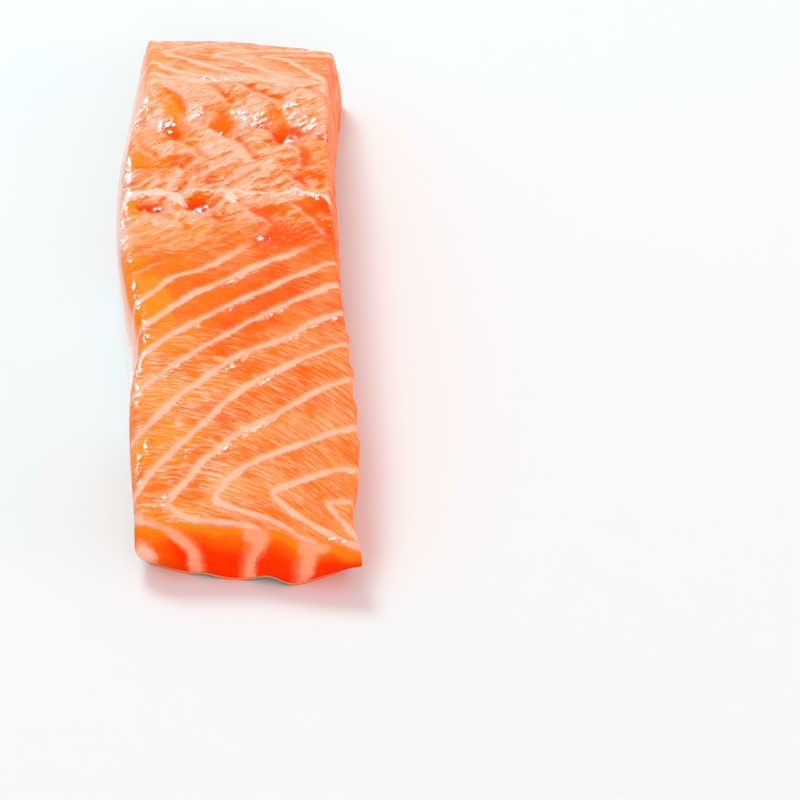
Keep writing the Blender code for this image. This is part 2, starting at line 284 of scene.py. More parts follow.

# Creases where one flake overlaps the next: a step up on the line's right, with a pale edge that is partly a
# painted highlight, and painted shade on the low side beside it, as strong as the edge is pale.
Crease = namedtuple("Crease", "points rise dip pale width")
CREASES = [Crease(*row) for row in [
    ([(-10.2, 46), (-11.3, 49.4), (-12.1, 52.4), (-13.2, 54.6), (-16.9, 57.8)], 0.45, 0.45, 0.9, 0.7),
    ([(-8.3, 58.4), (-7, 57.4), (-5.7, 55.6), (-4, 52.7), (-3.1, 50.2), (-0.7, 49.2)], 0.45, 0.5, 0.8, 0.5),
    ([(-1.3, 58.2), (0.6, 56.8), (2.2, 55.5), (4.6, 53.4), (7, 51.7), (9.4, 49.6)], 0.45, 0.5, 0.9, 0.5),
    ([(12.2, 58.2), (15, 55.4), (16.6, 52.8), (17.2, 49)], 0.4, 0.4, 0.7, 0.5),
    ([(-23.2, 38), (-21.4, 34), (-20.7, 32), (-18.8, 30.6), (-16.6, 29.2)], 0.3, 0.3, 0.5, 0.4),
    ([(-14.8, 37.2), (-12.5, 34), (-10.5, 32.4), (-8.8, 30.1), (-6.6, 27.6)], 0.3, 0.35, 0.7, 0.5),
    ([(-4.4, 37.4), (-1.5, 36.1), (0.3, 33.1), (1.3, 30.8), (2.6, 28.5), (3.9, 27.3)], 0.2, 0.3, 1.0, 1.1),
    ([(3.9, 27.3), (2.9, 25.4), (1, 23.9), (-0.8, 21.5), (-2.5, 19.1), (-3.3, 17.2)], 0.25, 0.35, 0.8, 0.7),
    ([(8.8, 36.4), (11.3, 33.6), (12.6, 31.6), (13.2, 29), (12.8, 26.2), (11, 23.2)], 0.3, 0.35, 0.7, 0.5),
    ([(12.6, 25), (14.7, 26.3), (16.7, 27.1), (20, 29.8)], 0.2, 0.25, 0.5, 0.4),
    ([(9.2, 22.6), (11.4, 21.2), (13.1, 18.8), (14.4, 16.5)], 0.25, 0.25, 0.7, 0.6),
    ([(-24, 18), (-20.2, 20.1), (-18.5, 21.9), (-16.9, 25)], 0.25, 0.2, 0.5, 0.5),
    ([(-12.2, 15.6), (-10.8, 18), (-9.6, 20.6), (-7.3, 24.4), (-4.6, 26.2)], 0.3, 0.3, 0.7, 0.6),
    ([(-23.6, 4.2), (-20.3, 6.3), (-17.7, 7.8), (-15, 6.3), (-13.2, 4.4)], 0.15, 0.15, 0.3, 0.5),
    ([(-13.6, 6.4), (-11.6, 3.4), (-12.4, 1.2), (-16.2, -0.8)], 0.2, 0.2, 0.5, 0.6),
    ([(-6.2, 8.8), (-4.3, 5.3), (-2.2, 4.3), (0.2, 5.4)], 0.2, 0.2, 0.5, 0.5),
    ([(-23.4, -7.2), (-19.9, -5.1), (-17.5, -3.5), (-15, -3.1), (-12.4, -1.6)], 0.1, 0.1, 0.35, 0.6),
    ([(-23.4, -12.6), (-19.8, -11.3), (-17.3, -9.5), (-14.2, -8.5)], 0.1, 0.1, 0.5, 0.5),
    ([(-1.2, 13.4), (1.6, 10.3), (4.2, 7.3), (6.5, 4.7), (8, 3.4)], 0.2, 0.2, 0.5, 0.6),
    ([(10.4, 13.4), (12.7, 10.5), (14.7, 7.7), (16.3, 5.1), (19.4, -0.2)], 0.2, 0.2, 0.6, 0.5),
]]

# The torn membrane: white bands that cross the portion, and tabs that hang from them.
Membrane = namedtuple("Membrane", "points half_width height")
MEMBRANES = [
    Membrane([(-24.6, 9.4), (-24.2, 12.4), (-23, 14.6), (-20.5, 15.6), (-16.3, 15.3), (-12.1, 14.6)],
             0.95, 0.55),
    Membrane([(-14.8, 14.4), (-12.8, 13.6), (-11.8, 12.4), (-11.6, 11)], 0.9, 0.4),
    Membrane([(-11.9, 14), (-10.6, 15.7), (-7.8, 16.2), (-4.8, 16.2), (2.6, 16), (6.8, 15.3), (9.8, 15)],
             0.3, 0.3),
    Membrane([(9.6, 15), (11.4, 16.3), (12.9, 16.3), (14.2, 15.4), (17.3, 15.1), (18.8, 14), (20, 10.8)],
             0.42, 0.3),
    Membrane([(-2.2, 15.7), (-1.5, 14.2), (-0.8, 12.2)], 0.85, 0.2),
    Membrane([(11.4, 16.2), (12.8, 16.1)], 0.8, 0.3),
]

# Hollows, where the wet flesh under the torn membrane and between the flakes shows deep orange.
Hollow = namedtuple("Hollow", "x y half_x half_y depth deep")
HOLLOWS = [
    Hollow(-18.2, 11.2, 2.8, 1.9, 1.9, 1),
    Hollow(-8.6, 11.4, 2.8, 2.3, 2.1, 1),
    Hollow(-14.6, 42.6, 1.8, 2.2, 0.9, 0.12),
    Hollow(-3.6, 42.6, 2.6, 2.6, 0.8, 0.25),
    Hollow(9.4, 40.4, 2.6, 2.4, 0.9, 0.15),
    Hollow(17.6, 37.6, 1.3, 1.6, 0.9, 0.7),
]

# Wet places, where rough flesh glitters.
Spot = namedtuple("Spot", "x y half_x half_y")
GLEAMS = [Spot(*row) for row in [
    (-21, 49.5, 2, 4), (-22, 44, 1.6, 2.4), (-15.6, 43.4, 1.4, 2),
    (-9.2, 47, 1.5, 2), (-5.2, 41.6, 1.6, 1.2), (0.6, 47.2, 1.9, 1.8),
    (4.6, 44.4, 1.5, 1.7), (11.4, 47.8, 1.5, 2.8), (14.8, 43.8, 1.6, 1.8),
    (17.2, 39, 1, 2.6), (10.6, 40.8, 1, 0.8), (-17.6, 11.4, 1.7, 0.9),
    (-8, 11.4, 1.5, 0.9), (-7.4, 61.6, 2.2, 1), (-4, 61.4, 2.4, 1.2),
    (6.2, -1, 1.2, 0.8), (-23.7, 2.3, 1.1, 5), (-23.7, 24, 0.9, 6),
    (12, 16.4, 1.4, 1), (17.2, 14.6, 1.2, 1), (-16.4, -65.4, 0.9, 1.5),
    (-9.3, -68.6, 0.6, 1.1), (-12.9, -81.7, 0.7, 1.4), (-18.6, -74, 0.8, 2.6),
    (21.6, -93.6, 1.4, 0.8),
]]

# Pale places on the back end's cut face: a corner, and the ends of two seams.
BLOBS = [Spot(-19, -96.2, 3.9, 5), Spot(5.4, -92, 3.6, 2.3), Spot(16.8, -95.4, 4.1, 2.5)]

# Colour of the flesh from back to belly, at the left rim, in the middle and at the right rim:
# how red it is (0 yellow-orange, 1 red-orange), and how pale.
Tone = namedtuple("Tone", "y left_red mid_red right_red left_pale mid_pale right_pale")
TONES = [Tone(*row) for row in [
    (-95, 0.2, 0.4, 0.3, 0.2, 0.3, 0.2),
    (-75, 0.1, 0.4, 0.35, 0.05, 0.45, 0.2),
    (-60, 0.1, 0.5, 0.45, 0.15, 0.2, 0.35),
    (-45, 0.1, 0.5, 0.5, 0.4, 0.2, 0.25),
    (-32, 0.1, 0.7, 0.5, -0.2, -0.05, 0.35),
    (-20, 0.1, 0.9, 0.75, -0.4, -0.2, 0.3),
    (-10, 0.1, 0.75, 0.8, -0.15, 0.15, 0.15),
    (2, 0.1, 0.5, 0.65, 1, 0.55, 0.3),
    (10, 0.3, 0.6, 0.6, 1, 0.9, 0.5),
    (20, 0.3, 0.6, 0.5, 1.1, 1.2, 1),
    (28, 0.1, 0.5, 0.4, 0.9, 1.2, 0.65),
    (38, 0.1, 0.4, 0.3, 1, 1.2, 0.95),
    (45, 0, 0.2, 0.1, 1.2, 1.1, 0.9),
    (52, 0.2, 0.4, 0.3, 0.95, 1.05, 1.3),
    (60, 0.2, 0.4, 0.3, 1.1, 1.2, 1.1),
    (68, 0.1, 0.3, 0.4, 0.15, 0.5, 0.25),
    (80, 0.1, 0.4, 0.4, 0.15, 0.55, 0.35),
    (95, 0.2, 0.5, 0.5, 0.95, 1, 1),
]]
TONE_LEFT, TONE_MID, TONE_RIGHT = -19.0, 0.0, 17.0

# Patches that differ from the flesh round them: how much redder, paler and deeper; the last one is a painted
# highlight.
Patch = namedtuple("Patch", "x y half_x half_y red pale deep")
PATCHES = [Patch(*row) for row in [
    (-14.2, 49, 2.4, 4.2, -0.5, -1, 0),
    (-18, 46, 2.6, 2.4, -0.5, 0.5, 0),
    (-14.5, 43, 3.4, 3, 0, -1.2, 0.15),
    (-4.2, 45.2, 3, 4.2, 0.1, -0.9, 0.15),
    (7.6, 44.6, 3.9, 4.4, 0.1, -0.8, 0),
    (16.4, 42.6, 2.6, 3.4, 0, -0.2, 0),
    (10.6, 40.2, 3.6, 2.4, 0.2, -0.9, 0.25),
    (-10.2, 48.6, 1.8, 3.2, 0, 0.6, 0),
    (0.6, 47.6, 1.8, 2.2, 0, 0.5, 0),
    (0.8, 61.6, 3, 2.4, 0, 0.6, 0),
    (-21.4, 27.6, 3.8, 3.6, -0.5, -1, 0),
    (-13, 28.8, 4, 1.7, 0.4, -0.9, 0.15),
    (-4.6, 20.4, 3, 1.6, 0.4, -0.35, 0.05),
    (7, 37, 1.6, 2.2, 0.2, -0.9, 0.2),
    (14, 31.7, 1.3, 1.8, 0.2, -0.6, 0.25),
    (10.8, 27.8, 2.8, 2, 0.2, -0.7, 0.2),
    (16.4, 22.8, 3, 2.2, 0.2, -0.7, 0.15),
    (16, 33, 3.6, 4.6, 0, -0.3, 0),
    (-22.2, 11, 1.9, 2.2, -0.5, -0.8, 0),
    (-12.2, 10.7, 1.4, 1.5, 0, -0.7, 0.1),
    (6, 9.3, 3, 2.8, 0.3, -0.6, 0.1),
    (16.8, 12, 3, 3.4, 0.3, -0.8, 0.1),
    (-2, 1, 5, 4, 0, -0.3, 0),
    (8, 0.5, 6, 5, 0.15, -0.2, 0),
    (-25, -88.5, 3.5, 4, 0, 1.2, -0.5),
    # A painted highlight: pale on the left rim's rounding.
    (-24.4, 2, 1.3, 5, 0, 1.6, 0),
]]


# --------------------------------------
# Measuring to lines, and noise


def spline(points, per_span=10):
    """A smooth line through the points."""
    knots = np.array(points, float)
    knots = np.concatenate([[2 * knots[0] - knots[1]], knots, [2 * knots[-1] - knots[-2]]])
    t = np.linspace(0, 1, per_span, endpoint=False)[:, None]
    spans = []
    for before, start, end, after in zip(knots, knots[1:], knots[2:], knots[3:]):
        bend = (2 * before - 5 * start + 4 * end - after) * t**2
        bend = bend + (3 * start - before - 3 * end + after) * t**3
        spans.append(start + 0.5 * ((end - before) * t + bend))
    return np.concatenate(spans + [knots[-2:-1]])


def arch(flake):
    turn = np.linspace(np.pi, 0, 13)
    x = flake.x + flake.half_width * np.cos(turn)
    return np.stack([x, flake.base_y + (flake.top_y - flake.base_y) * np.sin(turn)], axis=-1)


def measure(plane, line, reach=7.0):
    """Distance of each point to a line, positive on the line's right, and the share along it.

    Points further off than the reach keep the reach as their distance."""
    distance, share = np.full(len(plane), reach), np.zeros(len(plane))
    inside = np.all((plane > line.min(0) - reach) & (plane < line.max(0) + reach), axis=1)
    near = inside.nonzero()[0]
    start, run = line[:-1], np.diff(line, axis=0)
    length = np.linalg.norm(run, axis=1)
    passed = np.concatenate([[0], np.cumsum(length)[:-1]])
    for part in np.array_split(near, len(near) // 20000 + 1):
        offset = plane[part][:, None] - start
        t = np.clip((offset * run).sum(-1) / length**2, 0, 1)
        apart = offset - t[..., None] * run
        best = np.argmin((apart**2).sum(-1), axis=1)
        pick = np.arange(len(part)), best
        side = np.sign(apart[pick][:, 0] * run[best, 1] - apart[pick][:, 1] * run[best, 0])
        gap = np.minimum(np.linalg.norm(apart[pick], axis=1), reach)
        distance[part] = gap * np.where(side == 0, 1, side)
        share[part] = (passed[best] + t[pick] * length[best]) / length.sum()
    return distance, share


def tapered(share, ends):
    """1 in the middle of a line, down to 0 at its ends."""
    return smoothly(np.minimum(share, 1 - share), 0, ends)


def step_across(distance, rise, dip, run, dip_run, width):
    """A step: high on the right of a line, and low on its left."""
    high = rise * np.exp(-np.clip(distance, 0, None) / run)
    low = dip * hump(np.clip(-distance, 0, None), dip_run)
    return mix(-low, high, 0.5 + 0.5 * np.tanh(distance / width))


def within(plane, spot, power):
    """1 in an ellipse's middle, down to 0 outside it; a higher power has a sharper edge."""
    apart = np.hypot((plane[:, 0] - spot.x) / spot.half_x, (plane[:, 1] - spot.y) / spot.half_y)
    return np.exp(-(apart**power))


def noise_at(points, size, seed, octaves=3):
    """Smooth noise from about -1 to 1, with features of this size in millimetres."""
    shift = Vector((17.3 * seed, -9.1 * seed, 4.7 * seed))
    padded = np.zeros((len(points), 3))
    padded[:, : points.shape[1]] = points / size
    return np.array([noise.fractal(Vector(p) + shift, 1.0, 2.0, octaves) for p in padded.tolist()])


def ragged(plane, reach, size, seed):
    """The plane's points moved about a little, so that lines measured from them wander."""
    sideways = noise_at(plane, size, seed, 2)
    lengthways = noise_at(plane, size, seed + 1, 2)
    return plane + reach * np.stack([sideways, lengthways], axis=-1)


# --------------------------------------
# What the flesh is like at each place of the pattern plane


def looseness(y):
    """1 where the flesh is torn loose, 0 where the muscle segments are whole."""
    return smoothly(y, LOOSE_START, LOOSE_FULL) * smoothly(-y, -FOLD_Y - 2, -FOLD_Y + 1)


def torn_fields(plane):
    """Relief of the torn stretch, how pale its edges are (partly as painted highlight), how far each point
    is outside the white membrane, and how deep the colour is: in the hollows, and as painted shade beside
    flakes and creases."""
    relief, edge, deep = np.zeros((3, len(plane)))
    outside = np.full(len(plane), 5.0)
    wavy = ragged(plane, 0.4, 2.4, 11)
    for flake in FLAKES:
        d, share = measure(wavy, arch(flake), 12.0)
        ends = tapered(share, 0.15)
        relief += ends * step_across(d, flake.rise, flake.dip, flake.run, flake.dip_run, 0.5)
        # The arch's pale lip: the torn tissue's paleness, partly a painted highlight.
        edge = np.maximum(edge, 0.35 * ends * hump(d - 0.7, 0.8))
        # Painted shade in the dip beyond the arch, stronger the deeper the dip.
        deep = np.maximum(deep, 0.25 * ends * flake.dip / 2 * hump(d + 0.9, 1.0) * (d < 0))
    for crease in CREASES:
        d, share = measure(wavy, spline(crease.points))
        ends = tapered(share, 0.15)
        relief += ends * step_across(d, crease.rise, crease.dip, 2.5, 1.8, 0.8)
        # The crease's pale edge: the torn tissue's paleness, partly a painted highlight.
        edge = np.maximum(edge, crease.pale * ends * hump(d - 0.5 * crease.width, 0.9 * crease.width))
        # Painted shade on the crease's low side.
        deep = np.maximum(deep, 0.45 * ends * crease.pale * hump(d + 1.1, 0.9))
    for membrane in MEMBRANES:
        d, share = measure(wavy, spline(membrane.points))
        half_width = membrane.half_width * (0.35 + 0.65 * tapered(share, 0.25))
        beyond = np.abs(d) - half_width
        relief += membrane.height * smoothly(-beyond, -0.35, 0.15)
        outside = np.minimum(outside, beyond)
    for hollow in HOLLOWS:
        inside = within(wavy, hollow, 4)
        relief -= hollow.depth * inside
        deep = np.maximum(deep, hollow.deep * inside)
    return relief, edge, outside, deep


def nearest_of(plane, routes):
    nearest = np.full(len(plane), SEAM_REACH)
    for points in routes:
        d, _ = measure(plane, spline(points), SEAM_REACH)
        nearest = np.where(np.abs(d) < np.abs(nearest), d, nearest)
    return nearest


def seam_fields(plane, on_right_wall):
    """Distance to the nearest seam, with its side's sign, and that seam's half width."""
    wavy = ragged(plane, 0.22, 3.5, 21)
    gap, half_width = nearest_of(wavy, SEAMS), np.full(len(plane), SEAM_HALF_WIDTH)
    others = (
        (FACET_SEAMS, FACET_SEAM_HALF_WIDTH, True),
        (WALL_SEAMS, WALL_SEAM_HALF_WIDTH, on_right_wall > 0),
    )
    for routes, width, where in others:
        other = nearest_of(wavy, routes)
        nearer = (np.abs(other) < np.abs(gap)) & where
        gap = np.where(nearer, other, gap)
        half_width = np.where(nearer, width, half_width)
    return gap, half_width


def grain_fields(plane):
    """Places along and across the muscle fibres, which fan out towards the right."""
    x, y = plane.T
    belly_share = smoothly(y, -80.0, -25.0)
    bend = mix(FAN_BACK_BEND, FAN_BELLY_BEND, belly_share)
    return x, y + bend / 2 * (x - mix(FAN_BACK_X, FAN_BELLY_X, belly_share)) ** 2


def tone_at(x, y, measure_name):
    heights = [tone.y for tone in TONES]
    left, mid, right = (
        np.interp(y, heights, [getattr(tone, f"{place}_{measure_name}") for tone in TONES])
        for place in ("left", "mid", "right")
    )
    return mix(mix(left, mid, smoothly(x, TONE_LEFT, TONE_MID)), right, smoothly(x, TONE_MID, TONE_RIGHT))


def tone_fields(plane):
    wavy = ragged(plane, 1.5, 3.2, 31)
    red, pale = tone_at(*plane.T, "red"), tone_at(*plane.T, "pale")
    deep = np.zeros(len(plane))
    for patch in PATCHES:
        inside = within(wavy, patch, 3)
        red, pale, deep = red + patch.red * inside, pale + patch.pale * inside, deep + patch.deep * inside
    return red, pale, deep


def in_any(plane, spots, power):
    return np.max([within(plane, spot, power) for spot in spots], axis=0)


# --------------------------------------
# The flesh's surface


def spaced(count, *crowds):
    """Steps from 0 to 1 that lie closer together around each crowd (where, width, how much)."""
    fine = np.linspace(0, 1, 2001)
    density = 1 + sum(extra * hump(fine - at, width) for at, width, extra in crowds)
    filled = np.concatenate([[0], np.cumsum((density[1:] + density[:-1]) / 2)])
    return np.interp(np.linspace(0, filled[-1], count + 1), filled, fine)


ACROSS = spaced(COLUMNS, (0.0, 0.03, 1.5), (1.0, 0.03, 1.5))
ALONG = spaced(ROWS, (0.0, 0.012, 2.0), (1.0, 0.01, 1.0), (0.68, 0.12, 0.5))


def rim_indices(columns, rows):
    """(column, row) once round a grid, anticlockwise from the back left corner."""
    back = [(i, 0) for i in range(columns)]
    right = [(columns, j) for j in range(rows)]
    belly = [(i, rows) for i in range(columns, 0, -1)]
    left = [(0, j) for j in range(rows, 0, -1)]
    return np.array(back + right + belly + left).T


def outward(ring):
    """Unit vectors in plan that point out of a ring which runs anticlockwise."""
    run = np.roll(ring, -1, axis=0) - np.roll(ring, 1, axis=0)
    normal = np.stack([run[:, 1], -run[:, 0]], axis=-1)
    return normal / np.linalg.norm(normal, axis=1, keepdims=True)


def upper_points():
    """The upper face's points, each one's place in the pattern plane, and the torn fields there."""
    u, v = (grid.ravel() for grid in np.meshgrid(ACROSS, ALONG))
    x, y = upper_plan(u, v)
    plane = np.stack([x, y - rounding_drop(v * LENGTH, BACK_ROUND)], axis=-1)
    torn = torn_fields(plane)
    gap, _ = seam_fields(plane, np.zeros(len(plane)))
    loose = looseness(y)
    lumps = TORN_LUMP * noise_at(plane, TORN_LUMP_SIZE, 1) + TORN_GRAIN * noise_at(plane, TORN_GRAIN_SIZE, 3)
    lumps = loose * lumps + SWAY * noise_at(plane, SWAY_SIZE, 2)
    ridge = RIDGE * hump(gap, RIDGE_WIDTH)
    ditch = DITCH * hump(gap - DITCH_OFFSET, DITCH_WIDTH) * smoothly(y, BACK_LEFT, BACK_LEFT + 8)
    inland = smoothly(np.minimum(u, 1 - u) * WIDTH, -1.0, 3.5)
    z = crest(x, y) + CROWN * (1 - (2 * u - 1) ** 2) - rim_drop(u, v)
    z = z + inland * (torn[0] + lumps + (1 - loose) * (ridge - ditch))
    return np.column_stack([x, y, z]), plane, torn


def wall_points(rim, rim_plane, u, v):
    """Rings down the walls, and each point's place in the pattern plane."""
    foot = np.stack(foot_plan(u, v), axis=-1)
    out = outward(foot)
    swell = mix(SIDE_SWELL, BACK_SWELL, fading(v, BACK_SHARE))
    base = curl_lift(foot[:, 0], v) + SKIN_THICKNESS
    to_end = (v == 1) * 1.0 - (v == 0)
    to_side = ((u == 1) * 1.0 - (u == 0)) * (to_end == 0)
    fold = np.column_stack([to_side, to_end])
    rings, planes = [], []
    for level in WALL_LEVELS:
        z = mix(rim[:, 2], base, level)
        ripple = WALL_RIPPLE * noise_at(np.column_stack([foot, 3 * z]), WALL_RIPPLE_SIZE, 5)
        reach = (swell + ripple) * np.sin(np.pi * level) - rounding_drop(z - base, LOWER_ROUND)
        rings.append(np.column_stack([mix(rim[:, :2], foot, level) + out * reach[:, None], z]))
        planes.append(rim_plane + fold * (rim[:, 2] - z)[:, None])
    return np.concatenate(rings), np.concatenate(planes)


def grid_faces(columns, rows):
    j, i = np.meshgrid(np.arange(rows), np.arange(columns), indexing="ij")
    corner = (j * (columns + 1) + i).ravel()
    return np.stack([corner, corner + 1, corner + columns + 2, corner + columns + 1], axis=-1)


def ring_faces(above, below):
    return np.stack([above, below, np.roll(below, -1), np.roll(above, -1)], axis=-1)


def mesh_object(name, points, faces, fields):
    """A smooth mesh piece from arrays in millimetres, which carries vector fields."""
    mesh = bpy.data.meshes.new(name)
    mesh.from_pydata((points * MM).tolist(), [], faces)
    mesh.shade_smooth()
    mesh.set_sharp_from_angle(angle=np.radians(60))
    for field, values in fields.items():
        layer = mesh.attributes.new(field, "FLOAT_VECTOR", "POINT")
        layer.data.foreach_set("vector", np.column_stack(values).astype(np.float32).ravel())
    piece = bpy.data.objects.new(name, mesh)
    bpy.context.collection.objects.link(piece)
    return piece


def flesh_faces(rim, top_count):
    """Faces of the upper face's grid, of the rings below its rim, and of the flat underside."""
    faces = grid_faces(COLUMNS, ROWS).tolist()
    above = rim
    for level in range(len(WALL_LEVELS)):
        below = top_count + level * len(rim) + np.arange(len(rim))
        faces += ring_faces(above, below).tolist()
        above = below
    faces.append(above[::-1].tolist())
    return faces


def one_sided(gap):
    """The distance on one side of a line, 0 near the line on its other side and growing again beyond."""
    return np.clip(gap, 0, None) + np.clip(-gap - 2.0, 0, None)


def flesh_tones(plane, torn, place, below_edge, face):
    """How red, how pale and how deep the flesh's colour is, also on the back end's cut face, which carries
    painted light (yellower at its top edge) and painted shade (deep red-orange below).
    """
    x, y = plane.T
    red, pale, deep = tone_fields(plane)
    # Painted light: the back end's cut face turns yellower just below its top edge.
    red = red - 0.4 * face * smoothly(-below_edge, -4.0, -1.0) + 0.2 * place.right
    pale_face = in_any(ragged(plane, 0.8, 2.5, 41), BLOBS, 4)
    # Painted shade on the cut face: deep red-orange outside its pale blobs, deepening towards its foot and
    # weaker at the left.
    painted_shade_down_face = mix(0.1, 1.0, smoothly(below_edge, 1.5, 6.5)) * mix(0.6, 1.0, smoothly(x, -16.0, -9.0))
    deep = deep + face * painted_shade_down_face * (1 - pale_face) + torn[3]
    palest = mix(1.6, 0.95, smoothly(x, -15, -9))
    # Outside the pale blobs the cut face loses its pallor, so that its painted shade stays saturated.
    pale = mix(pale, mix(-0.4, palest, pale_face), face) - 1.4 * torn[3]
    pale = pale * (1 - place.right * mix(0.8, 0.1, smoothly(y, 45, 70)))
    return red, np.clip(pale, -0.5, 1.5), np.clip(deep, 0, 1)


def side_fat(y, place):
    """How white with fat the left wall and the foot of the belly end's wall are."""
    fat = place.left * mix(0.45, 1.0, smoothly(place.share, 0.15, 0.6)) * smoothly(place.share, 0.0, 0.15)
    fat = fat * mix(0.25, 1.0, smoothly(y, -60, -38)) * mix(1.0, 0.6, smoothly(y, 8, 24))
    return np.maximum(fat, (place.left + place.belly) * smoothly(place.share, 0.6, 0.95) * 0.7)


def fibre_strength(x, y, on_right_wall):
    """How clearly the whole flesh's fibres show."""
    strength = mix(1.0, 0.5, smoothly(y, -45.0, -20.0)) * mix(1.0, 0.55, smoothly(x, -12.0, 6.0))
    return np.maximum(strength, np.maximum(smoothly(y, FOLD_Y, FOLD_Y + 3), 1.3 * on_right_wall))


def wetness(plane, gap, walls):
    """How wet the flesh is: in the wet places, beside the seams and along the left rim."""
    x, y = plane.T
    damp = smoothly(noise_at(plane, 7.0, 51, 2), -0.15, 0.35) * (1 - walls)
    by_seams = 0.21 * damp * hump(gap - 1.2, 0.8) * smoothly(y, -90, -70) * smoothly(-y, -10, 10)
    by_rim = 0.34 * damp * hump(x - along(y, "left_rim") - 1.2, 1.0) * smoothly(-y, -60, -56)
    return np.max([in_any(plane, GLEAMS, 2), by_seams, by_rim], axis=0)


Place = namedtuple("Place", "left right back belly share")


def flesh_fields(plane, torn, place):
    """The fields that the flesh's material reads.

    The place holds, for each point, which wall it is on and how far down that wall it is."""
    x, y = plane.T
    gap, half_width = seam_fields(plane, place.right)
    edge_x, edge_y = np.array(CUT_EDGE).T
    below_edge = (np.interp(x, edge_x, edge_y) - y) * (1 - place.left - place.right)
    face = smoothly(below_edge, -0.2, 0.5)
    half_width = half_width * (1 + mix(0.4, 0.9, smoothly(x, -6, 0)) * smoothly(below_edge, 1.5, 4.5))
    walls = place.left + place.right + place.back + place.belly
    loose = looseness(y) * (1 - walls)
    facet = smoothly(y, FOLD_Y, FOLD_Y + 3) * (1 - place.right)
    outside = np.minimum(torn[2], np.abs(gap) + mix(5.0, 0.05, facet))
    return {
        "seam": (one_sided(-gap), one_sided(gap), half_width),
        "grain": (*grain_fields(plane), loose),
        "tint": flesh_tones(plane, torn, place, below_edge, face),
        "tear": (outside, wetness(plane, gap, walls), torn[1]),
        "side": (side_fat(y, place), np.maximum(fibre_strength(x, y, place.right), loose), face),
    }


def flesh_piece():
    top, top_plane, torn = upper_points()
    columns, rows = rim_indices(COLUMNS, ROWS)
    rim = rows * (COLUMNS + 1) + columns
    u, v = ACROSS[columns], ALONG[rows]
    wall, wall_plane = wall_points(top[rim], top_plane[rim], u, v)
    on_top, levels = np.zeros(len(top)), len(WALL_LEVELS)
    off_membrane = [0.0, 0.0, 5.0, 0.0]
    torn = [np.append(field, np.full(len(wall), off)) for field, off in zip(torn, off_membrane)]
    on_side = (v > 0) & (v < 1)
    place = Place(
        left=np.append(on_top, np.tile((u == 0) & on_side, levels)),
        right=np.append(on_top, np.tile((u == 1) & on_side, levels)),
        back=np.append(on_top, np.tile(v == 0, levels)),
        belly=np.append(on_top, np.tile(v == 1, levels)),
        share=np.append(on_top, np.repeat(WALL_LEVELS, len(rim))),
    )
    plane = np.concatenate([top_plane, wall_plane])
    fields = flesh_fields(plane, torn, place)
    return mesh_object("fillet_flesh", np.concatenate([top, wall]), flesh_faces(rim, len(top)), fields)


def skin_piece():
    """The skin is a thin sheet below the flesh, whose edge curls up at the back end."""
    across = spaced(SKIN_COLUMNS, (0.0, 0.02, 2.0), (1.0, 0.02, 2.0))
    length = spaced(SKIN_ROWS, (0.0, 0.02, 4.0))
    u, v = (grid.ravel() for grid in np.meshgrid(across, length))
    x, y = foot_plan(u, v)
    lift = curl_lift(x, v)
    x, y = x * (1 - SKIN_INSET[0]), y * (1 - SKIN_INSET[1])
    lower = np.column_stack([x, y, lift])
    upper = np.column_stack([x, y, lift + SKIN_THICKNESS])
    columns, rows = rim_indices(SKIN_COLUMNS, SKIN_ROWS)
    rim = rows * (SKIN_COLUMNS + 1) + columns
    faces = grid_faces(SKIN_COLUMNS, SKIN_ROWS)
    sides = ring_faces(len(lower) + rim, rim)
    all_faces = faces[:, ::-1].tolist() + (faces + len(lower)).tolist() + sides.tolist()
    height = np.append(np.zeros(len(lower)), np.ones(len(upper)))
    fields = {"skin": (np.tile(x, 2), np.tile(y, 2), height), "curl": (np.tile(lift, 2),) * 3}
    return mesh_object("fillet_skin", np.concatenate([lower, upper]), all_faces, fields)


# --------------------------------------
# Materials


def colour(red, green, blue):
    """A display colour, 0 to 255, as the linear colour that a shader takes."""
    shares = np.array([red, green, blue]) / 255
    linear = np.where(shares > 0.04045, ((shares + 0.055) / 1.055) ** 2.4, shares / 12.92)
    return (*linear.tolist(), 1.0)


